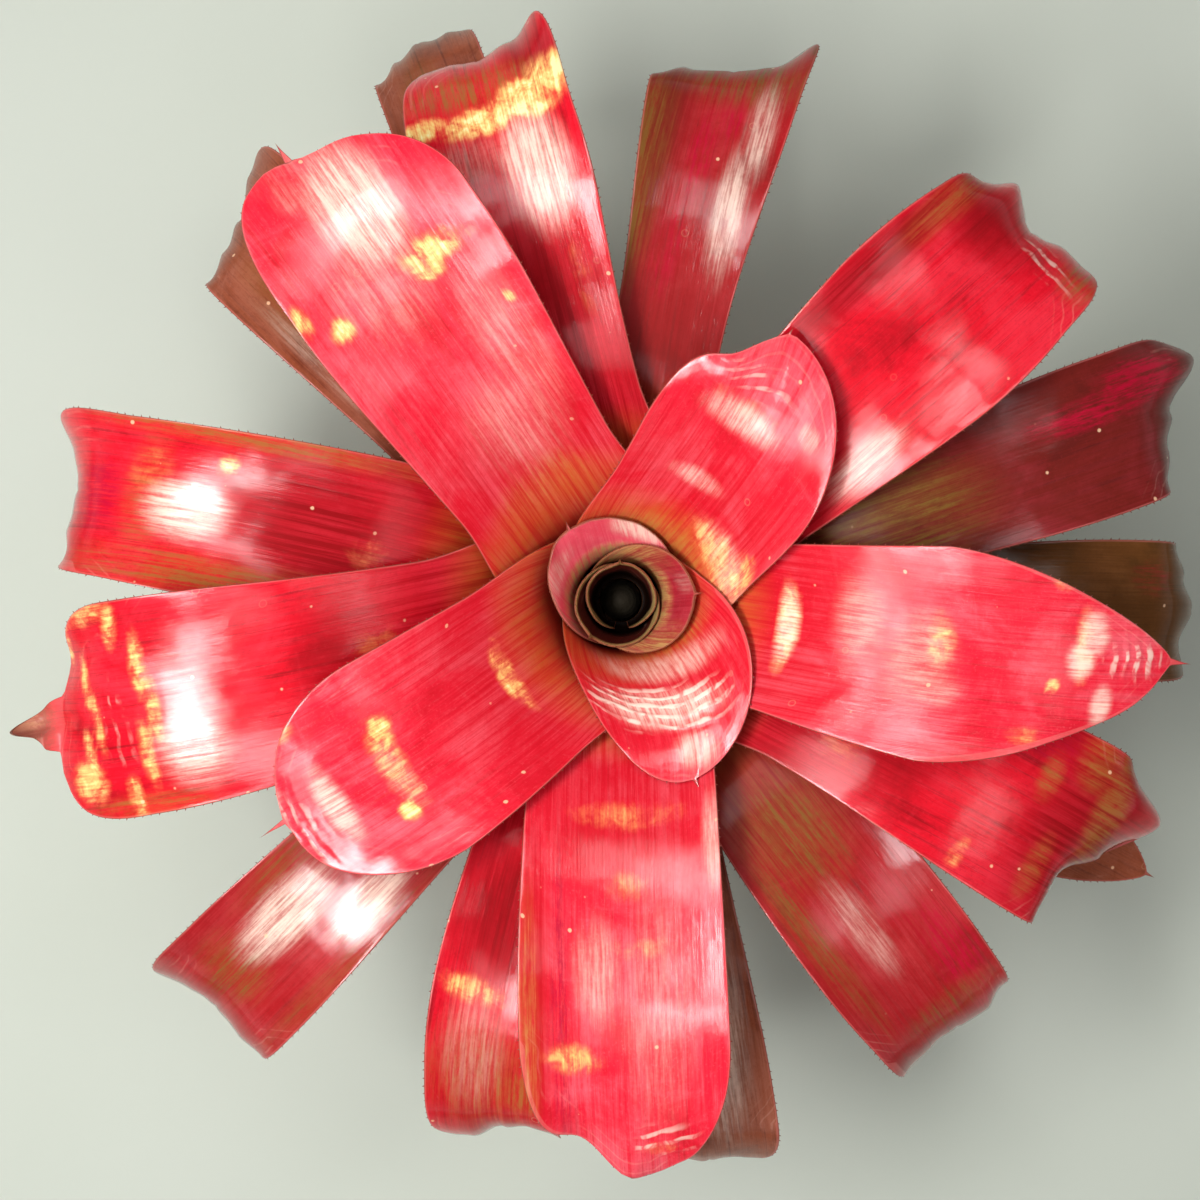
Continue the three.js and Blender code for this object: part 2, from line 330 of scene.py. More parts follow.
def chip_tree():
    """Chips of bark and perlite strewn over the level top of a bed, part sunk and turned anyhow."""
    tree = bpy.data.node_groups.new("strewn_chips", "GeometryNodeTree")
    tree.is_modifier = True
    tree.interface.new_socket("Bed", in_out="INPUT", socket_type="NodeSocketGeometry")
    for name, kind in (
        ("Chips per square metre", "Float"), ("Shortest", "Float"), ("Longest", "Float"),
        ("Clear of the wall", "Float"), ("Finish", "Material"),
    ):
        tree.interface.new_socket(name, in_out="INPUT", socket_type="NodeSocket" + kind)
    tree.interface.new_socket("Bed", in_out="OUTPUT", socket_type="NodeSocketGeometry")
    net = Net(tree)
    given = net.node("NodeGroupInput").outputs
    x, y, _ = net.parts(net.node("GeometryNodeInputPosition").outputs[0])
    out = (x * x + y * y) ** 0.5
    level = net.parts(net.node("GeometryNodeInputNormal").outputs[0])[2]
    inside = net.math("LESS_THAN", out, Reading(net, given["Clear of the wall"]))
    open_bed = net.math("GREATER_THAN", level, 0.6) * inside
    strewn = net.node("GeometryNodeDistributePointsOnFaces", {
        "Mesh": given["Bed"], "Selection": open_bed, "Density": given["Chips per square metre"],
        "Seed": 4,
    })

    # Three kinds of chip, each a flattened ball with its own dents. One draw in seven is perlite,
    # which is smaller and rounder.
    kinds = net.node("GeometryNodeGeometryToInstance")
    for n in range(3):
        ball = net.node("GeometryNodeMeshIcoSphere", {"Radius": 0.5, "Subdivisions": 2})
        bx, by, bz = net.parts(net.node("GeometryNodeInputPosition").outputs[0])
        dented = net.noise(net.point(bx * 1.7 + 3.1 * n, by * 1.7, bz * 1.7), 1.0, 2.0) * 1.3 + 0.4
        slim = 0.75 - 0.12 * n
        chip = net.node("GeometryNodeSetPosition", {
            "Geometry": ball.outputs["Mesh"],
            "Position": net.point(bx * dented, by * dented * slim, bz * dented * 0.42),
        })
        net.tree.links.new(chip.outputs[0], kinds.inputs[0])
    tilt_and_turn = (0.7, 0.7, 6.28)  # most that a chip is turned about each axis, in radians
    turn = net.node("FunctionNodeRandomValue", {"Max": tilt_and_turn, "Seed": 9},
                    data_type="FLOAT_VECTOR")
    draw = net.node("FunctionNodeRandomValue", {"Seed": 12}, data_type="FLOAT").outputs[1]
    pick = Reading(net, draw)
    perlite = net.math("GREATER_THAN", pick, 0.86)
    longest = Reading(net, given["Longest"])
    shortest = Reading(net, given["Shortest"])
    size = shortest + (longest - shortest) * (pick * 1.15) ** 2.0
    size = size * (1.0 - perlite) + shortest * 0.62 * perlite
    placed = net.node("GeometryNodeInstanceOnPoints", {
        "Points": strewn.outputs["Points"], "Instance": kinds.outputs[0],
        "Pick Instance": True, "Rotation": turn.outputs[0],
        "Scale": net.point(size, size, size * (1.0 + perlite)),
    })
    marked = net.node("GeometryNodeStoreNamedAttribute", {
        "Geometry": placed.outputs[0], "Name": "grain",
        "Value": 0.12 + pick * 0.88 * (1.0 - perlite) + perlite * 0.86,
    }, data_type="FLOAT", domain="INSTANCE")
    both = net.node("GeometryNodeJoinGeometry")
    net.tree.links.new(given["Bed"], both.inputs[0])
    net.tree.links.new(marked.outputs[0], both.inputs[0])
    real = net.node("GeometryNodeRealizeInstances", {"Geometry": both.outputs[0]})
    done = net.node("GeometryNodeSetMaterial", {
        "Geometry": real.outputs[0], "Material": given["Finish"],
    })
    net.node("NodeGroupOutput", {0: done.outputs[0]})
    return tree


def set_tree(piece, tree, values):
    """Gives the piece the tree as a modifier, with its inputs set by their identifiers."""
    modifier = piece.modifiers.new(tree.name, "NODES")
    modifier.node_group = tree
    for socket in tree.interface.items_tree:
        if socket.in_out == "INPUT" and socket.name in values:
            modifier[socket.identifier] = values[socket.name]


def potting_mix():
    def inner(height):
        return pot_radius(height) - POT_WALL - BED_WALL_GAP

    foot, shoulder = POT_FLOOR + BED_WALL_GAP, BED_TOP - 2
    profile = [
        (0, foot), (inner(foot), foot), (inner(shoulder) - 0.4, 93.4), (inner(shoulder) - 2, 94.2),
        (54, 95.1), (40, 95.4), (26, 95.9), (12, BED_TOP), (STEM_PIT_RADIUS, BED_TOP),
        (STEM_PIT_RADIUS, STEM_PIT_FLOOR), (0, STEM_PIT_FLOOR),
    ]
    bed = turned("potting_mix_bed", [Vector(p) for p in profile], around=96)
    bed.data.attributes.new("grain", "FLOAT", "POINT")
    set_tree(bed, chip_tree(), {
        "Chips per square metre": 42000.0, "Shortest": SHORTEST_CHIP * MM,
        "Longest": LONGEST_CHIP * MM, "Clear of the wall": 61 * MM, "Finish": bark_and_perlite(),
    })
    return made_plain(bed)


bed = potting_mix()
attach(bed, "root")
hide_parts("potting_mix")


# The stem: a short woody stalk, rooted in the mix and ringed by the scars of fallen leaves,
# which the sheaths of the living leaves clasp from its foot to its growing point.
STEM_FOOT = 78
SCARS = 24
SCAR_PITCH = 3


def woody_stem():
    """Fibrous brown bark with darker rings; the growing point, deep in the cup, is painted nearly
    black as shade.
    """
    material, net, shader = finish_net("woody_stem", IOR=1.45, Specular_IOR_Level=0.3)
    place = net.node("ShaderNodeTexCoord").outputs["Object"]
    x, y, z = net.parts(place)
    fibre = net.noise(net.point(x * 900.0, y * 900.0, z * 60.0), 1.0, 4.0, 0.6)
    ring = net.noise(net.point(x * 20.0, y * 20.0, z * 500.0), 1.0, 3.0, 0.5)
    colour = net.mix(fibre.ease(0.3, 0.7), (0.12, 0.075, 0.035), (0.34, 0.25, 0.13))
    colour = net.mix(ring.ease(0.55, 0.7) * 0.6, colour, (0.06, 0.035, 0.018))
    # Painted shade: the top of the stem, deep in the cup, turns nearly black.
    colour = net.mix(z.ease(0.14, 0.15), colour, (0.02, 0.014, 0.007))
    net.feed(shader.inputs["Base Color"], colour)
    net.feed(shader.inputs["Roughness"], 0.7 + fibre * 0.2)
    relief(net, shader, fibre * 0.5 + ring, 0.0006)
    return material


def ringed_stalk():
    profile = [(0, STEM_FOOT)]
    for n in range(SCARS):
        height = STEM_FOOT + 0.2 + SCAR_PITCH * n
        profile += [(7.5, height), (8.05, height + 1.1), (7.95, height + 1.9), (7.45, height + 2.6)]
    profile += [(6.6, 152.5), (5.2, 154.6), (3.2, 156.6), (1.4, 157.7), (0, 158)]
    stalk = turned("ringed_stem", [Vector(p) for p in profile], around=48)
    stalk.data.materials.append(woody_stem())
    return stalk


stalk = ringed_stalk()
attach(stalk, "root")
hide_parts("stem")


# The lower leaves: the oldest of the rosette. Each is one living strap, a wide sheath clasping
# the stem that narrows into a stiff arching blade with a skin of wine, brown or olive, a bent and
# weathered end, and fine forward-pointing teeth along both margins.
TUBE_RADIUS = 11.5  # of the innermost sheath
SHEATH_PITCH = 2.25  # how much wider each next sheath is
ROOT_RADIUS = 9  # where a sheath leaves the stem
TANK_TOP = 155  # height at which every sheath has turned upright
TANK_WALL = 10  # upright part of a sheath
FLARE_RADIUS = 96  # less the sheath's own radius, the bend from sheath to blade
SHEATH_SPREAD = 1.3  # width of the sheath to that of the blade
WIDEST_WRAP = 2.9  # how far a sheath reaches round on each side, in radians
LEAF_THICKNESS = 0.9
TOOTH_SPACING = 3.4
END_LENGTH = 45.0  # how far back the end's pushes and ruffles reach
STEPS_ALONG = 150
STEPS_ACROSS = 40

LEAF_MEASURES = (
    "Place from the heart", "Azimuth", "Swing", "Width", "Waist", "Rise", "Fall", "Blade", "End",
    "Curl", "Cup", "Taper", "Blunt", "Lean", "Right corner", "Right half", "Middle", "Left half",
    "Left corner", "Left swell", "Right swell", "Shoulder", "Ruffle", "Spine", "Spine width",
    "Hook", "Slant",
)


def strap_leaf_tree():
    """One strap leaf: upper and lower skins that meet in thin margins, with teeth set along them."""
    tree = bpy.data.node_groups.new("strap_leaf", "GeometryNodeTree")
    tree.is_modifier = True
    tree.interface.new_socket("Leaf", in_out="INPUT", socket_type="NodeSocketGeometry")
    for name in LEAF_MEASURES:
        tree.interface.new_socket(name, in_out="INPUT", socket_type="NodeSocketFloat")
    tree.interface.new_socket("Skin", in_out="INPUT", socket_type="NodeSocketMaterial")
    tree.interface.new_socket("Leaf", in_out="OUTPUT", socket_type="NodeSocketGeometry")
    net = Net(tree)
    given = net.node("NodeGroupInput").outputs
    read = {name: Reading(net, given[name]) for name in LEAF_MEASURES}
    number = read["Place from the heart"]  # also makes each leaf's waves and mottling its own
    degree = math.pi / 180
    rise, fall = read["Rise"] * degree, read["Fall"] * degree
    tip_slope = fall - read["Curl"] * degree

    # Each skin is a flat sheet that carries where it lies: along, across, and +1 above, -1 below.
    skins = net.node("GeometryNodeJoinGeometry")
    for facing in (1.0, -1.0):
        sheet = net.node("GeometryNodeMeshGrid", {
            "Size X": 1.0, "Size Y": 1.0, "Vertices X": STEPS_ALONG + 1,
            "Vertices Y": STEPS_ACROSS + 1,
        }).outputs["Mesh"]
        if facing < 0:
            sheet = net.node("GeometryNodeFlipFaces", {"Mesh": sheet}).outputs[0]
        fx, fy, _ = net.parts(net.node("GeometryNodeInputPosition").outputs[0])
        laid = net.node("GeometryNodeStoreNamedAttribute", {
            "Geometry": sheet, "Name": "flat", "Value": net.point(fx + 0.5, fy * 2.0, facing),
        }, data_type="FLOAT_VECTOR", domain="POINT")
        net.tree.links.new(laid.outputs[0], skins.inputs[0])
    flat = net.node("GeometryNodeInputNamedAttribute", {"Name": "flat"}, data_type="FLOAT_VECTOR")
    u, v, side = net.parts(flat.outputs[0])
    v = v * 1.5 - v * v * v * 0.5

    # Lengths along the midrib, in mm.
    sheath_radius = TUBE_RADIUS + number * SHEATH_PITCH
    corner = (sheath_radius - ROOT_RADIUS) * (math.pi / 2)
    wall_top = corner + TANK_WALL
    flare = (FLARE_RADIUS - sheath_radius) * (math.pi / 2 - rise)
    throat = wall_top + flare
    total = throat + read["Blade"] + read["End"]
    spine = read["Spine"]
    s = (total + spine) * (1.0 - (1.0 - u) ** 1.35)

    # The half width from the clasping sheath to the blunt end and its needle-like spine.
    half = read["Width"] * 0.5
    sheath = half * SHEATH_SPREAD
    wrap = (sheath / sheath_radius).most(WIDEST_WRAP)
    opened = ((s - throat) / (total - throat)).least(0.0).most(1.0)
    tip = ((s - total) / read["Taper"] + 1.0).least(0.0).most(1.0)
    waist = half * read["Waist"]
    reach = sheath + (waist - sheath) * ((s - wall_top) / (flare + 15.0)).ease(0.0, 1.0)
    reach = reach + (half - waist) * (opened / 0.75).ease(0.0, 1.0)
    swell = read["Right swell"] + (read["Left swell"] - read["Right swell"]) * v.ease(-0.5, 0.5)
    reach = reach + swell * opened * (1.0 - opened) * 4.0
    reach = reach * (1.0 - (1.0 - read["Shoulder"]) * opened.ease(0.5, 1.0))
    blunt = read["Blunt"]
    reach = reach * (1.0 - tip**blunt).least(0.0) ** (1.0 / blunt)
    needle = ((total + spine - s) / spine).least(0.0).most(1.0)
    reach = reach.least(needle**1.4 * read["Spine width"])
    lean = read["Lean"] * half * tip * tip
    y = v * reach + lean

    # Five pushes, from the right corner to the left, draw the end out or in: whole at its outline
    # and fading away over the end's length. They act outward and a little downward.
    near_end = (s - total + END_LENGTH).ease(0.0, END_LENGTH)
    spread = y / half
    push = 0.0
    for n, name in enumerate(("Right corner", "Right half", "Middle", "Left half", "Left corner")):
        share = 1.0 - abs(spread / read["Shoulder"] - (n * 0.5 - 1.0)) * 2.0
        push = share.ease(0.0, 1.0) * read[name] + push
    push = push * near_end * (1.0 - (s - total).ease(0.0, 3.0))
    wave = net.noise(net.point(s * 0.028, y * 0.035, number * 7.3), 1.0, 2.0) - 0.5

    # The midrib is a chain of arcs: each adds its chord to the radius and the height. The 1e-4
    # keeps a straight one from dividing by nothing.
    r, z, slope = ROOT_RADIUS, TANK_TOP - (sheath_radius - ROOT_RADIUS), 0.0
    chain = (
        (0.0, corner, 0.0, math.pi / 2), (corner, TANK_WALL, math.pi / 2, math.pi / 2),
        (wall_top, flare, math.pi / 2, rise), (throat, read["Blade"], rise, fall),
        (throat + read["Blade"], read["End"], fall, tip_slope),
        (total, spine, tip_slope, tip_slope + read["Hook"] * degree),
    )
    for start, length, from_slope, to_slope in chain:
        part = ((s - start) / length).least(0.0).most(1.0)
        turn = part * (to_slope - from_slope)
        half_turn = turn * 0.5 + 1e-4
        chord = part * length * net.math("SINE", half_turn) / half_turn
        heading = half_turn + from_slope
        r = chord * net.math("COSINE", heading) + r
        z = chord * net.math("SINE", heading) + z
        slope = turn + slope
    y = v * reach.most(wrap * r) + lean

    # Lift off the midrib's own surface: cupped margins, a faint wave, a gutter along the midrib, a
    # ruffled end, a scrolled tip, and half the thickness.
    thick = (reach * 1.7).most(LEAF_THICKNESS) * 0.5
    edge = (1.0 - abs(v) ** 60.0).least(0.0) ** 0.5
    ends = (s / 3.0).most(1.0).least(0.0) * ((total + spine - s) / 0.5).most(1.0).least(0.0)
    cup = read["Cup"] * (opened * 1.7 - 0.2).ease(0.0, 1.0) * spread * spread
    free = opened.ease(0.05, 0.35)
    gutter = (1.0 - abs(y - lean) / 3.2).least(0.0) ** 2.0 * opened.ease(0.3, 1.0)
    ruffle = net.noise(net.point(s * 0.02, y * 0.075, number * 3.7 + 40.0), 1.0, 1.0) - 0.5
    ruffle = ruffle * near_end * read["Ruffle"] * 2.0
    scroll = (s - total).ease(0.0, 8.0) * read["Hook"] * 0.0008 * (y * y).most(50.0)
    lift = cup + free * wave * 2.2 - gutter * 0.5 + ruffle + scroll
    lift = lift + side * thick * edge * ends
    swing = read["Swing"] * opened * opened
    angle = (read["Azimuth"] + swing) * degree + y / r
    out = r - net.math("SINE", slope) * lift + push * 0.97
    up = z + net.math("COSINE", slope) * lift - push * 0.15
    cosine, sine = net.math("COSINE", angle), net.math("SINE", angle)
    place = net.point(out * cosine * MM, out * sine * MM, up * MM)

    # What the skin's finish reads: mm past the throat and across, mm in from the end and the margin,
    # and the lines that creases follow. The teeth read which way is outward.
    outline = (tip**blunt + abs((y - lean) / half) ** blunt) ** (1.0 / blunt)
    from_end = (1.0 - outline) * read["Taper"]
    from_end = from_end + (total - read["Taper"] - s).least(0.0)
    margin = reach * (1.0 - abs(v))
    toward = net.math("SIGN", v)
    keen = 1.0 - tip * 0.8
    along_x = cosine * net.math("COSINE", slope)
    along_y = sine * net.math("COSINE", slope)
    along_z = net.math("SINE", slope)
    forward = 0.7 + tip * 0.6
    outward = net.point(
        toward * keen * -1.0 * sine + along_x * forward,
        toward * keen * cosine + along_y * forward, along_z * forward + 0.15,
    )
    stored = skins.outputs[0]
    for name, value in (
        ("lay", net.point(s - throat, y, number * 11.7)),
        ("rim", net.point(from_end, margin, side)),
        ("fold", net.point(s - read["Slant"] * y + y * y * 0.004, y, number * 11.7)),
        ("outward", outward),
    ):
        stored = net.node("GeometryNodeStoreNamedAttribute", {
            "Geometry": stored, "Name": name, "Value": value,
        }, data_type="FLOAT_VECTOR", domain="POINT").outputs[0]
    shaped = net.node("GeometryNodeSetPosition", {"Geometry": stored, "Position": place}).outputs[0]
    closed = net.node("GeometryNodeMergeByDistance", {"Geometry": shaped, "Distance": 2e-6})

    # Teeth: small hooked cones every few mm along both margins of the blade.
    on_margin = net.math("GREATER_THAN", abs(v), 0.9999) * net.math("GREATER_THAN", opened, 0.03)
    on_margin = on_margin * net.math("GREATER_THAN", side, 0.0)
    on_margin = on_margin * net.math("LESS_THAN", tip, 0.97)
    edges = net.node("GeometryNodeMeshToCurve", {"Mesh": shaped, "Selection": on_margin})
    row = net.node("GeometryNodeResampleCurve", {
        "Curve": edges.outputs[0], "Length": TOOTH_SPACING * MM,
    }, mode="LENGTH")
    tooth = net.node("GeometryNodeMeshCone", {
        "Vertices": 5, "Radius Top": 0.0, "Radius Bottom": 0.28, "Depth": 0.9,
    })
    aim = net.node("GeometryNodeInputNamedAttribute", {"Name": "outward"},
                   data_type="FLOAT_VECTOR")
    faced = net.node("FunctionNodeAlignRotationToVector", {"Vector": aim.outputs[0]}, axis="Z")
    chance = net.node("FunctionNodeRandomValue", {2: 0.45, 3: 1.1, "Seed": 3}, data_type="FLOAT")
    size = Reading(net, chance.outputs[1]) * MM
    set_in = net.node("GeometryNodeInstanceOnPoints", {
        "Points": row.outputs[0], "Instance": tooth.outputs["Mesh"],
        "Rotation": faced.outputs[0], "Scale": net.point(size, size, size),
    })
    both = net.node("GeometryNodeJoinGeometry")
    net.tree.links.new(closed.outputs[0], both.inputs[0])
    net.tree.links.new(set_in.outputs[0], both.inputs[0])
    smooth = net.node("GeometryNodeSetShadeSmooth", {0: both.outputs[0]})
    real = net.node("GeometryNodeRealizeInstances", {"Geometry": smooth.outputs[0]})
    done = net.node("GeometryNodeSetMaterial", {
        "Geometry": real.outputs[0], "Material": given["Skin"],
    })
    net.node("NodeGroupOutput", {0: done.outputs[0]})
    return tree


def leaf_skin(name, red, pink, deep, tan, throat, inside, under, rough,
              rim_band=(1.0, (0.8, 0.22, 0.2), 0.3), coat=1.0, painted_shade_from=-1000.0):
    """A waxy skin. Its blade is red, clouded with pink, which is partly a painted sheen, and deep,
    and flushed with tan; throat colours the foot of the blade, inside is a dark colour painted on
    the sheath as its shade, and under colours its other face. rim_band is the width, colour and
    strength of the pale margin, and past painted_shade_from the cup is painted near-black as shade."""
    material, net, shader = finish_net(
        name, IOR=1.5, Specular_IOR_Level=0.04, Coat_IOR=1.5, Coat_Roughness=0.1,
    )
    lay = net.node("ShaderNodeAttribute", attribute_name="lay").outputs["Vector"]
    rim = net.node("ShaderNodeAttribute", attribute_name="rim").outputs["Vector"]
    mark = net.node("ShaderNodeAttribute", attribute_name="mark").outputs["Vector"]
    tone = net.node("ShaderNodeAttribute", attribute_name="tone").outputs["Vector"]
    blush = net.node("ShaderNodeAttribute", attribute_name="blush").outputs["Vector"]
    creased = net.node("ShaderNodeAttribute", attribute_name="fold").outputs["Vector"]
    s, y, number = net.parts(lay)
    end, margin, side = net.parts(rim)
    yellow, dry, olive = net.parts(mark)
    painted_sheen, wine_and_shade, crease_and_glint = net.parts(tone)
    crimson, matt, _ = net.parts(blush)

    # Patterns in mm along and across the blade: the long thin ones follow the veins.
    blotch = net.noise(net.point(s * 0.13, y * 0.15, number + 3.0), 1.0, 3.0, 0.55, 0.6)
    thread = net.noise(net.point(s * 0.05, y * 0.8, number + 6.0), 1.0, 4.0, 0.65)
    vein = net.noise(net.point(s * 0.025, y * 1.7, number), 1.0, 4.0, 0.7)
    stripe = net.noise(net.point(s * 0.012, y * 0.5, number), 1.0, 5.0, 0.68)
    cloud = net.noise(net.point(s * 0.03, y * 0.035, number), 1.0, 5.0, 0.6, 0.6)
    across = net.noise(net.point(s * 0.14, y * 0.03, number + 5.0), 1.0, 5.0, 0.65, 0.4)
    speck = net.noise(net.point(s * 0.9, y * 0.9, number), 1.0, 3.0, 0.6)
    mottle = net.noise(net.point(s * 0.22, y * 0.55, number + 2.0), 1.0, 5.0, 0.7)
    f = net.parts(creased)[0]
    drift = net.noise(net.point(f * 0.09, y * 0.06, number + 8.0), 1.0, 2.0, 0.5)
    fold = net.math("SINE", f * 1.35 + drift * 11.0) * 0.5 + 0.5

    # The blade's own colour and a pink flush that is partly a painted sheen; its crimson and olive
    # flushes; painted shade over the foot of the blade and in the deep red marks, which are partly
    # the skin's own colour; and the cup painted dark as shade.
    # The pink flush is partly the skin's bloom and partly a painted sheen of soft reflected light.
    pink_bloom_and_sheen = (cloud * 0.6 + stripe * 0.4).ease(0.44, 0.64)
    top = net.mix(pink_bloom_and_sheen * (0.35 + thread * 0.7), red, pink)
    top = net.mix(stripe.ease(0.5, 0.7) * cloud.ease(0.7, 0.36) * 0.9, top, deep)
    top = net.mix(cloud.ease(0.46, 0.28) * 0.6, top, deep)
    grain = 0.35 + across.ease(0.4, 0.62) * 0.4 + cloud.ease(0.42, 0.6) * 0.4
    top = net.mix(thread.ease(0.46, 0.28) * 0.3 * grain, top, pink)
    top = net.mix(vein.ease(0.52, 0.68) * 0.5 * grain, top, deep)
    top = net.mix(vein.ease(0.46, 0.32) * 0.25 * grain, top, pink)
    top = net.mix(across.ease(0.56, 0.74) * 0.2, top, pink)
    top = net.mix(mottle.ease(0.56, 0.76) * 0.25, top, pink)
    top = net.mix(mottle.ease(0.46, 0.28) * 0.3, top, deep)
    top = net.mix(speck.ease(0.56, 0.74) * 0.22, top, pink)
    top = net.mix(speck.ease(0.46, 0.28) * 0.22, top, deep)
    # Painted shade at the foot of the blade, and in the deep red marks, which are also part deep red
    # colour.
    shaded = (s.ease(70.0, 8.0) * 0.75).least(wine_and_shade) * (0.55 + stripe.ease(0.62, 0.36) * 0.5)
    top = net.mix(shaded, top, deep)
    rosy = crimson * (0.1 + thread.ease(0.36, 0.62) * 0.55 + mottle.ease(0.36, 0.66) * 0.45)
    top = net.mix(rosy.ease(0.05, 0.95) * 0.9, top, (0.5, 0.003, 0.03))
    tanned = thread.ease(0.34, 0.62) * 0.65 + mottle.ease(0.36, 0.66) * 0.5
    tanned = olive * (0.12 + tanned) * (0.3 + stripe.ease(0.36, 0.62) * 0.85)
    top = net.mix(tanned.most(0.85), top, tan)
    near_throat = s.ease(8.0, -12.0) * (0.1 + stripe.ease(0.3, 0.65) * 0.4)
    top = net.mix(near_throat, top, throat)
    # Painted shade: the sheath darkens to the inside colour where it sinks between the leaves.
    top = net.mix(s.ease(-14.0, -40.0), top, inside)
    top = net.mix(s.ease(-40.0, -70.0), top, (0.26, 0.17, 0.08))
    # Painted shade: deep in the cup the skin turns near-black.
    top = net.mix(s.ease(painted_shade_from + 12.0, painted_shade_from), top, (0.006, 0.002, 0.001))

    # Sun marks, soft yellow patches of the skin's own colour, and pale patches of painted highlight,
    # all broken into threads that run along the veins.
    grit = (speck - 0.5) * 0.5 + (mottle - 0.5) * 0.8
    patch = (0.45 + blotch.ease(0.3, 0.7) * 0.75) * (0.66 + thread.ease(0.3, 0.7) * 0.44)
    patch = yellow * (patch + grit * 0.7)
    top = net.mix(patch.ease(0.08, 0.65) * 0.6, top, (1.0, 0.34, 0.12))
    top = net.mix(patch.ease(0.34, 0.95) * 0.9, top, (1.0, 0.72, 0.22))
    top = net.mix(patch.ease(0.72, 1.15) * 0.85, top, (1.0, 0.9, 0.46))
    # Painted highlight: the pale sheen marks lighten the skin as if light glanced off it.
    sheen = painted_sheen * (0.3 + blotch * 0.35 + thread.ease(0.32, 0.66) * 0.5 + grit * 0.4)
    top = net.mix(sheen.ease(0.05, 1.05) * 0.95, top, (1.0, 0.76, 0.62))
    # Painted highlight along the folds, which are also raised in the relief below.
    painted_crease_glint = crease_and_glint * fold.ease(0.35, 0.95) * (0.25 + blotch.ease(0.36, 0.6) * 0.9)
    top = net.mix(painted_crease_glint.ease(0.05, 0.9) * 0.9, top, (1.0, 0.8, 0.66))

    # Cream flecks and small rings, and pale hairlines that follow the outline of the end.
    seen = net.node("ShaderNodeSeparateXYZ")
    far, tint = net.cells(net.point(s * 0.085, y * 0.085, number))
    net.tree.links.new(tint, seen.inputs[0])
    chosen = Reading(net, seen.outputs[0])
    fleck = (far + mottle * 0.06).ease(0.11, 0.075) * chosen.ease(0.45, 0.5)
    ring = abs(far - 0.11).ease(0.03, 0.008) * chosen.ease(0.12, 0.08) * stripe
    top = net.mix((fleck * 0.7 + ring * 0.25) * s.ease(8.0, 30.0), top, (1.0, 0.6, 0.36))
    wander = net.noise(net.point(s * 0.05, y * 0.05, number + 9.0), 1.0, 2.0) * 9.0
    line = net.math("SINE", (end + wander) * 1.3).ease(0.7, 1.0)
    line = line * end.ease(20.0, 6.0) * cloud.ease(0.48, 0.62)
    top = net.mix(line * 0.12, top, (1.0, 0.55, 0.42))

    # Dried, papery brown at weathered ends, and a pale line along the margin.
    worn = dry * (0.5 + speck * 0.9)
    top = net.mix(worn.ease(0.25, 0.75), top, (0.17, 0.06, 0.022))
    top = net.mix((worn - 0.65).ease(0.0, 0.3) * stripe.ease(0.4, 0.6), top, (0.36, 0.22, 0.1))
    width, colour, strength = rim_band
    pale_edge = margin.most(end.least(0.3)).ease(width, width * 0.4) * (0.3 + mottle)
    top = net.mix(pale_edge * s.ease(-14.0, 0.0) * strength * 1.3, top, colour)

    # The other face: duller, dusted with pale scurf, and papery where the sheath clasps the stem.
    below = net.mix(cloud.ease(0.3, 0.7), under, tuple(c * 0.62 for c in under))
    below = net.mix(stripe.ease(0.45, 0.7) * 0.5, below, throat)
    scurf = speck.ease(0.5, 0.72) * across.ease(0.4, 0.62)
    below = net.mix(scurf * 0.4, below, (0.62, 0.5, 0.4))
    papery = s.ease(-20.0, -75.0)
    below = net.mix(papery, below, (0.3, 0.2, 0.095))
    below = net.mix(papery * stripe.ease(0.5, 0.68), below, (0.12, 0.065, 0.03))
    skin = net.mix(side.ease(-0.5, 0.5), below, top)
    brown_edge = margin.ease(0.42, 0.12)
    skin = net.mix(brown_edge * 0.75, skin, (0.2, 0.05, 0.025))
    net.feed(shader.inputs["Base Color"], skin)

    # Raised veins and creases under a coat of wax, which worn, olive and matt places lack.
    dull = side.ease(0.5, -0.5) * 0.16 + worn.ease(0.3, 0.8) * 0.3
    gloss = rough + vein * 0.12 + stripe * 0.12 - 0.12 + cloud * 0.05 + dull
    net.feed(shader.inputs["Roughness"], gloss)
    wrinkle = net.math("SINE", (end + wander * 1.3) * 2.3) * end.ease(18.0, 4.0)
    wrinkle = wrinkle * cloud.ease(0.42, 0.6) * 0.11
    height = vein * 0.5 + stripe * 1.1 + across * 0.1 + wrinkle + fold * crease_and_glint * 3.5
    bump = relief(net, shader, height, 0.00008)
    waxed = s.ease(-15.0, 45.0) * (1.0 - worn.most(0.8)) * (1.0 - olive.most(1.0) * 0.7)
    net.feed(shader.inputs["Coat Weight"], waxed * (1.0 - matt) * coat)
    net.feed(shader.inputs["Coat Normal"], bump)
    return material


def grown_leaf(name, sizes, skin, marks=(), ends=(0, 0, 0, 0, 0), **shape):
    """One leaf for the node `name`, with its marks painted on. Its sizes are the first fourteen of
    LEAF_MEASURES, ends are the five pushes on its outline, and shape names any of the others."""
    blank = bpy.data.meshes.new(name)
    leaf = bpy.data.objects.new(name + "_blade", blank)
    bpy.context.scene.collection.objects.link(leaf)
    values = dict(zip(LEAF_MEASURES, sizes))
    values.update(zip(("Right corner", "Right half", "Middle", "Left half", "Left corner"), ends))
    values.update({
        "Left swell": 0, "Right swell": 0, "Shoulder": 1, "Ruffle": 1.5, "Spine": 5.5,
        "Spine width": 0.75, "Hook": 0, "Slant": 0,
    })
    values.update({word.replace("_", " ").capitalize(): value for word, value in shape.items()})
    values = {measure: float(value) for measure, value in values.items()}
    set_tree(leaf, strap_leaf, {**values, "Skin": skin})
    made_plain(leaf)
    paint(leaf.data, marks, values["Slant"])
    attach(leaf, "root")
    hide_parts(name)


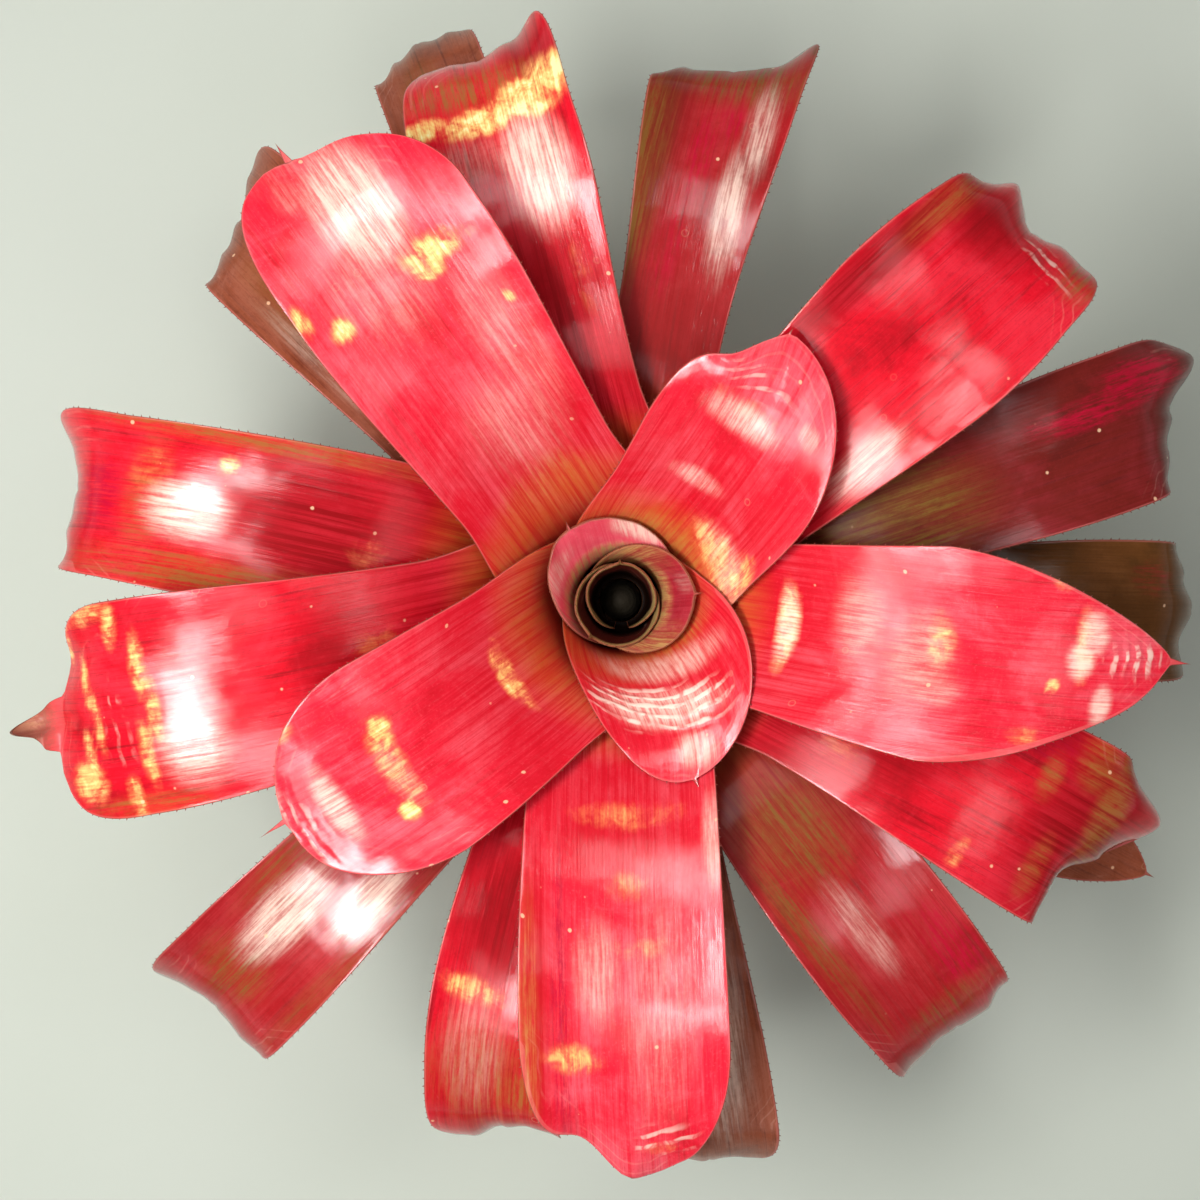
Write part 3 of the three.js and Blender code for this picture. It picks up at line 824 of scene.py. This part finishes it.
def paint(mesh, marks, slant):
    """Stores how much of each colour every point shows. A mark is (colour, mm from the plant's
    axis, mm across from the midrib, length, width, strength), and slant skews all of them."""
    count = len(mesh.vertices)
    place = np.zeros(count * 3, np.float32)
    lay = np.zeros(count * 3, np.float32)
    mesh.vertices.foreach_get("co", place)
    mesh.attributes["lay"].data.foreach_get("vector", lay)
    place, lay = place.reshape(-1, 3) / MM, lay.reshape(-1, 3)
    out, across = np.hypot(place[:, 0], place[:, 1]), lay[:, 1]
    # Crease marks raise real folds and paint highlights along them.
    # The pale sheen marks are painted highlights.
    # Wine marks are deep red colouring in part and painted shade in part.
    colours = ("yellow", "dry", "olive", "painted_sheen", "wine_and_shade", "crease_and_glint", "crimson", "matt")
    layers = ("mark", "tone", "blush")  # three colours each, in that order
    held = np.zeros((count, 3 * len(layers)), np.float32)
    for colour, far, aside, length, width, strength in marks:
        beyond = out - far - slant * (across - aside)
        gap = np.hypot(beyond / length, (across - aside) / width) * 2
        shade = np.clip(1.35 - gap, 0, 1)  # whole in its middle third, gone a third past its edge
        shade = shade * shade * (3 - 2 * shade) * strength
        column = colours.index(colour)
        held[:, column] = np.maximum(held[:, column], shade)
    for n, name in enumerate(layers):
        layer = mesh.attributes.new(name, "FLOAT_VECTOR", "POINT")
        layer.data.foreach_set("vector", held[:, n * 3:n * 3 + 3].ravel())


strap_leaf = strap_leaf_tree()
lower_skin = leaf_skin(
    "wine_leaf_skin", red=(0.38, 0.01, 0.013), pink=(0.52, 0.04, 0.045), deep=(0.2, 0.012, 0.01),
    tan=(0.2, 0.1, 0.02), throat=(0.2, 0.085, 0.018), inside=(0.09, 0.02, 0.012),
    under=(0.4, 0.13, 0.07), rough=0.4,
)
olive_skin = leaf_skin(
    "olive_leaf_skin", red=(0.13, 0.045, 0.01), pink=(0.2, 0.07, 0.02), deep=(0.07, 0.03, 0.007),
    tan=(0.15, 0.1, 0.015), throat=(0.12, 0.09, 0.015), inside=(0.07, 0.03, 0.012),
    under=(0.28, 0.12, 0.05), rough=0.4, coat=0.6,
)
brown_skin = leaf_skin(
    "brown_leaf_skin", red=(0.3, 0.07, 0.03), pink=(0.44, 0.14, 0.085), deep=(0.13, 0.025, 0.012),
    tan=(0.24, 0.14, 0.03), throat=(0.2, 0.11, 0.03), inside=(0.09, 0.03, 0.012),
    under=(0.4, 0.16, 0.08), rough=0.42, coat=0.6,
)
red_skin = leaf_skin(
    "red_leaf_skin", red=(0.72, 0.005, 0.018), pink=(0.84, 0.035, 0.06), deep=(0.28, 0.003, 0.006),
    tan=(0.36, 0.13, 0.03), throat=(0.4, 0.12, 0.015), inside=(0.12, 0.015, 0.01),
    under=(0.55, 0.16, 0.08), rough=0.32,
)

# Each leaf's sizes: place from the heart, azimuth, swing, width, waist, rise, fall, blade, end,
# curl, cup, taper, blunt and lean. Lengths are in mm and angles in degrees, and waist, blunt and
# lean are plain numbers.
grown_leaf("lower_leaf_9", (24, -27.5, 0, 44, 0.9, 0, -14, 105, 40, 10, 6, 62, 1.4, 0), brown_skin)
grown_leaf("lower_leaf_8", (23, 110, 0, 44, 0.9, 3, -16, 119, 44, 75, 8, 34, 2.7, 0), brown_skin,
           marks=[("olive", 200, 4, 60, 20, 0.5), ("wine_and_shade", 205, -8, 40, 14, 0.8)],
           ends=(-4, 3, 6, -2, -20))
grown_leaf("lower_leaf_7", (22, 279, 0, 55, 0.84, 6, -16, 109, 44, 60, 6, 34, 2.5, 0), brown_skin,
           marks=[("painted_sheen", 170, 8, 100, 30, 0.85), ("painted_sheen", 196, 4, 34, 40, 0.45)],
           ends=(-8, -3, 0, 0, 2), left_swell=1)
grown_leaf("lower_leaf_6", (21, 135, 0, 56, 0.86, 9, -16, 101, 44, 75, 8, 34, 2.7, 0), brown_skin,
           marks=[("olive", 170, 10, 60, 20, 0.4), ("painted_sheen", 150, 18, 80, 10, 0.4)],
           ends=(16, 12, 2, -5, -20))
grown_leaf("lower_leaf_5", (20, -1, 0, 58, 0.82, 12, -16, 116, 44, 75, 6, 34, 2.7, 0), olive_skin,
           marks=[("crimson", 206, 12, 22, 18, 0.4)],
           ends=(-6, -6, 2, -4, -13), left_swell=-2, shoulder=0.92)
grown_leaf("lower_leaf_4", (19, 225, 0, 57, 0.82, 15, -16, 122, 44, 80, 8, 34, 2.7, 0), lower_skin,
           marks=[("olive", 206, -5, 28, 30, 0.8), ("olive", 170, 24, 110, 10, 0.4),
                  ("olive", 158, -20, 60, 14, 0.6), ("painted_sheen", 150, 13, 44, 18, 0.9),
                  ("painted_sheen", 176, -6, 54, 24, 0.9)],
           ends=(3, 1, 0, -1, -8))
grown_leaf("lower_leaf_3", (18, 81, -3, 64, 0.7, 18, -16, 110, 44, 85, 8, 34, 2.7, -0.15),
           lower_skin,
           marks=[("olive", 165, 22, 100, 20, 0.9), ("olive", 209, -8, 30, 60, 0.9),
                  ("wine_and_shade", 170, 20, 130, 26, 1.0),
                  ("painted_sheen", 152, -15, 60, 15, 0.7), ("painted_sheen", 186, -20, 50, 14, 0.6),
                  ("dry", 228, -38, 26, 22, 1.0), ("crimson", 198, -8, 44, 14, 0.9),
                  ("crimson", 172, 0, 46, 13, 0.8), ("crimson", 138, 5, 54, 14, 0.6)],
           ends=(19, 5, 1, -4, -22), left_swell=-7, right_swell=-2)
grown_leaf("lower_leaf_2", (17, 309, -1, 55, 1.0, 20, -18, 114, 44, 80, 8, 34, 2.7, 0), lower_skin,
           marks=[("olive", 108, -5, 50, 40, 0.8), ("olive", 150, -24, 90, 12, 0.6),
                  ("olive", 200, 4, 14, 44, 0.5), ("painted_sheen", 154, -7, 54, 16, 0.45),
                  ("crimson", 188, 16, 66, 22, 0.8), ("crimson", 150, 10, 50, 20, 0.4),
                  ("matt", 108, 0, 70, 70, 0.8)],
           ends=(-5, -1, 0, 1, -10), right_swell=6, shoulder=0.93)
grown_leaf("lower_leaf_1", (16, 166.5, 2.5, 57, 1.15, 22, -14, 119, 44, 85, 10, 34, 2.7, 0),
           red_skin,
           marks=[("yellow", 156, -16, 9, 10, 0.9), ("yellow", 98, 6, 20, 16, 0.3),
                  ("painted_sheen", 168, 3, 38, 26, 0.95), ("olive", 150, 26, 130, 16, 0.9),
                  ("olive", 150, -29, 130, 12, 0.8), ("olive", 184, 0, 18, 50, 0.5),
                  ("wine_and_shade", 120, 0, 80, 60, 1.0), ("yellow", 184, -9, 20, 24, 0.35),
                  ("crimson", 205, 2, 24, 34, 1.0)],
           ends=(7, 2, 0, -3, -13), left_swell=5)


# The middle leaves: six full-grown straps of the second ring, glossy and deep red or maroon,
# with ends that bend over and break up into waves, ears and notches.
maroon_skin = leaf_skin(
    "maroon_leaf_skin", red=(0.16, 0.013, 0.009), pink=(0.28, 0.022, 0.028),
    deep=(0.09, 0.01, 0.007), tan=(0.17, 0.09, 0.015), throat=(0.14, 0.07, 0.015),
    inside=(0.07, 0.02, 0.012), under=(0.3, 0.1, 0.06), rough=0.4, coat=0.6,
)
grown_leaf("middle_leaf_6", (15, 19, 0, 62, 0.8, 24, -14, 126, 44, 70, 6, 34, 2.6, 0), maroon_skin,
           marks=[("olive", 108, -6, 70, 44, 0.8), ("crimson", 188, 9, 60, 14, 0.8),
                  ("crimson", 214, 15, 46, 20, 1.0), ("matt", 110, 0, 90, 60, 0.8)],
           ends=(-18, -7, 0, 15, 3), left_swell=-2, shoulder=0.95)
grown_leaf("middle_leaf_5", (14, 252, 6.5, 54, 0.9, 26, -16, 122, 44, 85, 6, 34, 2.6, 0), red_skin,
           marks=[("yellow", 156, -13, 12, 30, 0.7), ("olive", 188, -6, 44, 44, 0.55),
                  ("olive", 190, 8, 18, 22, 0.9), ("painted_sheen", 176, -10, 56, 30, 0.36),
                  ("wine_and_shade", 125, 0, 60, 60, 1.0), ("wine_and_shade", 195, 0, 60, 60, 0.6)],
           ends=(0, 1, -5, -11, -12), right_swell=2, shoulder=0.88)
grown_leaf("middle_leaf_4", (13, 105.5, -0.5, 72, 0.82, 28, -12, 118, 44, 70, 8, 34, 2.6, 0),
           red_skin,
           marks=[("yellow", 199, -28, 20, 26, 1.35), ("yellow", 191, -14, 19, 26, 1.3),
                  ("yellow", 186, 4, 13, 36, 1.1), ("yellow", 189, 28, 10, 28, 1.0),
                  ("yellow", 122, -18, 40, 10, 0.25),
                  ("painted_sheen", 164, -12, 54, 30, 0.9), ("painted_sheen", 173, 12, 22, 34, 0.4),
                  ("olive", 201, 4, 18, 60, 0.8), ("wine_and_shade", 210, -20, 26, 24, 0.8),
                  ("wine_and_shade", 118, 0, 60, 60, 0.9), ("crimson", 198, 16, 12, 22, 0.6),
                  ("matt", 125, 8, 80, 50, 0.7)],
           ends=(22, 7, 4, 3, 0), right_swell=-3, shoulder=0.8)
grown_leaf("middle_leaf_3", (12, -26.5, -1.5, 74, 0.78, 29, -14, 119, 44, 70, 8, 36, 2.6, 0),
           red_skin,
           marks=[("olive", 200, 14, 14, 66, 1.0), ("olive", 188, 28, 18, 22, 0.9),
                  ("olive", 172, 14, 9, 18, 0.7), ("olive", 182, -18, 9, 26, 0.6),
                  ("yellow", 155, -28, 7, 18, 0.5), ("yellow", 99, -10, 22, 22, 0.35),
                  ("wine_and_shade", 194, 0, 56, 90, 1.0), ("wine_and_shade", 115, 0, 40, 60, 0.7),
                  ("crimson", 170, 24, 40, 20, 0.6), ("crimson", 204, 20, 14, 30, 0.6),
                  ("matt", 102, 4, 50, 60, 0.6)],
           ends=(-26, -20, 0, 14, -13), left_swell=-2)
grown_leaf("middle_leaf_2", (11, 193.5, -2, 80, 0.82, 31, -12, 125, 40, 45, 8, 36, 2.4, 0.1),
           red_skin,
           marks=[("yellow", 190, -31, 7, 20, 0.9), ("yellow", 181, -15, 7, 30, 0.85),
                  ("yellow", 178, 2, 7, 32, 0.85), ("yellow", 184, 18, 7, 30, 0.8),
                  ("yellow", 193, 33, 7, 20, 0.85), ("yellow", 209, -26, 5, 22, 0.8),
                  ("yellow", 203, -10, 5, 28, 0.7), ("yellow", 201, 4, 5, 28, 0.7),
                  ("yellow", 207, 17, 5, 26, 0.75), ("yellow", 93, -5, 24, 20, 0.3),
                  ("painted_sheen", 164, 4, 30, 66, 0.35), ("painted_sheen", 167, 18, 34, 34, 0.7),
                  ("crease_and_glint", 193, 6, 14, 40, 0.3),
                  ("yellow", 200, -37, 22, 12, 0.7), ("yellow", 210, 26, 16, 18, 0.8),
                  ("olive", 190, 38, 50, 12, 0.8), ("wine_and_shade", 100, 0, 50, 70, 0.8),
                  ("dry", 250, 0, 62, 60, 1.2)],
           ends=(-4, -8, -1, 3, 2), spine=33, spine_width=11, hook=185)
grown_leaf("middle_leaf_1", (10, 42, 0, 74, 0.78, 33, -12, 132, 40, 80, 8, 34, 2.6, 0), red_skin,
           marks=[("painted_sheen", 104, -23, 40, 18, 0.7), ("crease_and_glint", 200, -13, 12, 30, 0.45),
                  ("olive", 188, 28, 50, 12, 0.6), ("olive", 206, -26, 20, 18, 0.6),
                  ("wine_and_shade", 195, 14, 34, 44, 0.9), ("wine_and_shade", 155, 30, 120, 16, 0.9),
                  ("matt", 110, -14, 60, 60, 0.6)],
           ends=(2, 1, -3, 5, -10), ruffle=3, left_swell=3, right_swell=3, shoulder=0.82)


# The upper leaves: the six newest full blades, which lie over the others. They are the
# brightest red, the glossiest, and end in a rounded tip with a sharp spine.
upper_skin = leaf_skin(
    "bright_leaf_skin", red=(0.84, 0.016, 0.04), pink=(0.95, 0.15, 0.19), deep=(0.56, 0.006, 0.014),
    tan=(0.56, 0.24, 0.06), throat=(0.6, 0.2, 0.03), inside=(0.4, 0.025, 0.015),
    under=(0.6, 0.18, 0.09), rough=0.3,
)
grown_leaf("upper_leaf_6", (9, 270, 1, 76, 0.95, 36, -12, 126, 34, 25, 5, 46, 2.0, 0.15), upper_skin,
           marks=[("yellow", 169, -20, 14, 24, 0.7), ("yellow", 81, 2, 12, 50, 0.45),
                  ("yellow", 106, 1, 14, 20, 0.4), ("yellow", 128, 6, 10, 30, 0.4),
                  ("painted_sheen", 150, 12, 110, 34, 0.35), ("painted_sheen", 95, 34, 40, 10, 0.6),
                  ("painted_sheen", 137, -10, 46, 22, 0.5), ("yellow", 204, 11, 7, 16, 0.5),
                  ("crease_and_glint", 201, 12, 16, 30, 0.5), ("olive", 165, -36, 100, 8, 0.8),
                  ("wine_and_shade", 88, 0, 40, 70, 0.8), ("wine_and_shade", 150, -34, 150, 14, 1.0),
                  ("crimson", 150, -24, 130, 8, 0.9), ("matt", 176, 8, 60, 60, 0.5)],
           ends=(14, -2, 8, 4, 0), right_swell=2)
grown_leaf("upper_leaf_5", (8, 125, 0, 84, 0.82, 38, 2, 118, 34, 25, 7, 36, 1.9, 0.2), upper_skin,
           marks=[("yellow", 145, -17, 13, 32, 0.85), ("yellow", 139, -11, 10, 14, 1.0),
                  ("yellow", 152, 38, 14, 8, 0.9), ("yellow", 140, 27, 11, 12, 0.9),
                  ("yellow", 118, -30, 6, 4, 0.9), ("painted_sheen", 172, -2, 60, 36, 0.9),
                  ("painted_sheen", 190, 16, 20, 14, 0.4), ("olive", 55, -2, 16, 44, 0.45),
                  ("wine_and_shade", 50, 0, 36, 80, 0.9), ("painted_sheen", 200, 0, 20, 60, 0.3),
                  ("painted_sheen", 106, -22, 70, 30, 0.4), ("painted_sheen", 78, -6, 46, 44, 0.4),
                  ("painted_sheen", 146, 6, 60, 50, 0.4), ("matt", 172, -32, 50, 34, 0.9)],
           ends=(5, 4, 1, 6, 12), shoulder=0.94, spine=15, spine_width=2.2)
grown_leaf("upper_leaf_4", (7, -10, 3, 80, 0.8, 38, -8, 122, 36, 10, 6, 84, 1.32, 0.05), upper_skin,
           marks=[("yellow", 63, 1, 9, 38, 1.0), ("yellow", 117, 4, 12, 24, 0.7),
                  ("yellow", 169, 7, 9, 30, 0.8), ("yellow", 159, -8, 6, 6, 1.0),
                  ("yellow", 153, -27, 16, 9, 0.5), ("yellow", 160, 30, 9, 8, 0.6),
                  ("painted_sheen", 172, 12, 13, 18, 1.0), ("painted_sheen", 168, 2, 12, 16, 1.0),
                  ("painted_sheen", 63, 1, 9, 34, 0.9), ("painted_sheen", 110, -2, 30, 44, 0.5),
                  ("painted_sheen", 88, 8, 22, 40, 0.5), ("painted_sheen", 178, -14, 9, 16, 0.9),
                  ("painted_sheen", 118, -14, 22, 16, 0.5), ("crease_and_glint", 188, 3, 26, 20, 0.6),
                  ("matt", 100, 12, 56, 70, 0.75)],
           ends=(8, 6, 0, 0, 0), right_swell=4, left_swell=2, spine=9, spine_width=1.3)
grown_leaf("upper_leaf_3", (6, 217, -3, 84, 0.92, 42, 6, 77, 30, 20, 2, 45, 2.1, -0.05), upper_skin,
           marks=[("yellow", 52, -3, 8, 34, 1.0), ("yellow", 104, 0, 13, 42, 0.7),
                  ("yellow", 101, -14, 11, 13, 1.0), ("yellow", 109, 17, 9, 10, 0.95),
                  ("yellow", 134, -32, 12, 10, 0.5), ("painted_sheen", 104, 4, 12, 36, 0.4),
                  ("painted_sheen", 129, 1, 12, 36, 0.8), ("painted_sheen", 146, -14, 8, 16, 0.4),
                  ("crease_and_glint", 146, 4, 24, 40, 0.4), ("olive", 27, -10, 12, 40, 0.6),
                  ("wine_and_shade", 72, 0, 34, 60, 0.4), ("matt", 138, -14, 34, 50, 0.8)],
           ends=(-2, -2, 0, 3, 1), spine=13, spine_width=1.1)
grown_leaf("upper_leaf_2", (5, 50, 6, 80, 0.92, 48, 20, 55, 26, 15, 3, 48, 2, 0.1), upper_skin,
           marks=[("yellow", 40, -20, 14, 44, 0.8), ("yellow", 45, -31, 14, 18, 0.85),
                  ("yellow", 84, 6, 10, 50, 0.3), ("painted_sheen", 80, 6, 13, 38, 0.7),
                  ("painted_sheen", 90, -19, 10, 12, 0.6), ("painted_sheen", 42, -22, 14, 44, 0.5),
                  ("olive", 30, 4, 12, 50, 0.9), ("painted_sheen", 54, 8, 8, 26, 0.6),
                  ("crease_and_glint", 94, 6, 14, 34, 0.4), ("matt", 90, -16, 44, 40, 0.8)],
           ends=(2, 3, 3, -10, 0))
grown_leaf("upper_leaf_1", (4, -55, -10, 76, 1, 58, 32, 20, 28, 26, 2, 40, 1.9, -0.1), upper_skin,
           marks=[("crease_and_glint", 45, -9, 19, 58, 1.0), ("painted_sheen", 45, -9, 18, 50, 0.85),
                  ("painted_sheen", 63, -2, 16, 20, 0.8), ("olive", 24, 0, 8, 70, 0.5),
                  ("painted_sheen", 32, 0, 12, 60, 0.65)], left_swell=2, slant=0.28)


# The heart leaves: four young blades, still rolled round one another into the cup that holds
# the plant's water. Only their rims have opened, pink on the outer two and tan on the inner two.
heart_skin = leaf_skin(
    "heart_leaf_skin", red=(1.0, 0.14, 0.22), pink=(1.0, 0.5, 0.5), deep=(0.8, 0.07, 0.11),
    tan=(0.78, 0.52, 0.2), throat=(0.3, 0.15, 0.05), inside=(0.04, 0.006, 0.004),
    under=(0.5, 0.16, 0.08), rough=0.34, rim_band=(0.9, (0.45, 0.2, 0.12), 0.5), coat=0.5,
    painted_shade_from=-24.0,
)
flap_skin = leaf_skin(
    "flap_leaf_skin", red=(0.6, 0.035, 0.06), pink=(0.82, 0.15, 0.19), deep=(0.32, 0.015, 0.025),
    tan=(0.62, 0.42, 0.14), throat=(0.3, 0.15, 0.05), inside=(0.04, 0.006, 0.004),
    under=(0.5, 0.16, 0.08), rough=0.34, rim_band=(1.0, (0.4, 0.16, 0.09), 0.5), coat=0.5,
    painted_shade_from=-24.0,
)
# The inner two line the deep cup: their near-black colours are painted shade over dark maroon.
cup_shade_skin = leaf_skin(
    "cup_shade_leaf_skin", red=(0.07, 0.01, 0.008), pink=(0.11, 0.022, 0.014), deep=(0.04, 0.006, 0.004),
    tan=(0.4, 0.28, 0.1), throat=(0.03, 0.008, 0.005), inside=(0.006, 0.002, 0.001),
    under=(0.4, 0.16, 0.08), rough=0.4, rim_band=(2.0, (0.36, 0.25, 0.09), 0.8), coat=0.15,
    painted_shade_from=-7.0,
)
grown_leaf("heart_leaf_4", (3, 108, 0, 74, 1, 72, 62, 4, 18.5, 8, 0, 26, 1.9, 0.3), heart_skin,
           marks=[("painted_sheen", 29, -16, 11, 26, 1.0), ("painted_sheen", 27, 26, 8, 30, 0.6),
                  ("olive", 20, 0, 6, 80, 1.0)])
grown_leaf("heart_leaf_3", (2, 5, 0, 60, 1, 76, 68, 2, 23, 5, 0, 24, 1.9, 0), flap_skin,
           marks=[("painted_sheen", 25, 5, 8, 12, 0.35), ("olive", 20, -30, 20, 34, 1.0),
                  ("olive", 20, 40, 20, 50, 1.0), ("olive", 16.5, 0, 7, 80, 1.0)])
grown_leaf("heart_leaf_2", (1, 230, 0, 62, 1, 81, 72, 2, 10, 0, 0, 18, 2, 0), cup_shade_skin)
grown_leaf("heart_leaf_1", (0, 92, 0, 52, 1, 82, 76, 2, 8, 0, 0, 16, 2, 0), cup_shade_skin)


# The studio: a wide pale floor, a camera straight above the rosette, six soft windows of light
# round the lens, a broad diffuser above them, and a room that is pale low down and dim overhead.
FLOOR_WIDTH = 60  # in metres, as are all the studio's sizes
CAMERA_PLACE = (-0.0084, 0, 1.035)
WINDOW_HEIGHT = 1.12
WINDOW_TILT = 26  # degrees from facing straight down


def studio():
    material, net, shader = finish_net("pale_floor", Specular_IOR_Level=0.2)
    place = net.node("ShaderNodeTexCoord").outputs["Object"]
    tone = net.noise(place, 3.0, 3.0)
    net.feed(shader.inputs["Base Color"], net.mix(tone, (0.6, 0.64, 0.54), (0.66, 0.69, 0.62)))
    net.feed(shader.inputs["Roughness"], 0.85 + tone * 0.1)
    bpy.ops.mesh.primitive_plane_add(size=FLOOR_WIDTH, location=(0, 0, 0))
    floor = bpy.context.object
    floor.name = "studio_floor"
    floor.data.materials.append(material)

    lens = bpy.data.cameras.new("overhead_camera")
    lens.lens = 64.7
    lens.sensor_width = 36
    camera = bpy.data.objects.new("overhead_camera", lens)
    camera.location = CAMERA_PLACE
    bpy.context.scene.collection.objects.link(camera)
    bpy.context.scene.camera = camera

    windows = (  # degrees round the plant, metres out, width, height, watts
        (185, 0.48, 0.46, 0.23, 8.4), (232, 0.48, 0.22, 0.2, 2.2), (126, 0.42, 0.3, 0.24, 1.7),
        (88, 0.46, 0.24, 0.22, 0.7), (-8, 0.46, 0.26, 0.22, 0.4), (-85, 0.42, 0.3, 0.24, 0.45),
    )
    for n, (azimuth, out, wide, high, power) in enumerate(windows):
        turn = math.radians(azimuth)
        light = bpy.data.lights.new(f"window_{n}", "AREA")
        light.shape = "RECTANGLE"
        light.size, light.size_y = wide, high
        light.energy = power
        lamp = bpy.data.objects.new(f"window_{n}", light)
        lamp.location = (out * math.cos(turn), out * math.sin(turn), WINDOW_HEIGHT)
        lamp.rotation_euler = (0, math.radians(WINDOW_TILT), turn)
        lamp.rotation_euler.rotate_axis("Z", math.radians(90))
        bpy.context.scene.collection.objects.link(lamp)

    # A broad diffuser overhead that lights the leaves evenly and leaves no mirror image on them.
    light = bpy.data.lights.new("diffuser", "AREA")
    light.shape = "DISK"
    light.size = 5.0
    light.energy = 21.0
    diffuser = bpy.data.objects.new("diffuser", light)
    diffuser.location = (0.6, 0.15, 2.6)
    diffuser.visible_camera = False
    diffuser.visible_glossy = False
    bpy.context.scene.collection.objects.link(diffuser)

    world = bpy.data.worlds.new("pale_room")
    world.use_nodes = True
    net = Net(world.node_tree)
    upward = net.parts(net.node("ShaderNodeTexCoord").outputs["Generated"])[2]
    room = world.node_tree.nodes["Background"]
    shade = net.mix(upward.ease(0.0, 0.5), (0.44, 0.46, 0.46), (0.06, 0.065, 0.07))
    net.feed(room.inputs["Color"], shade)
    bpy.context.scene.world = world
    bpy.context.scene.view_settings.view_transform = "Standard"


studio()
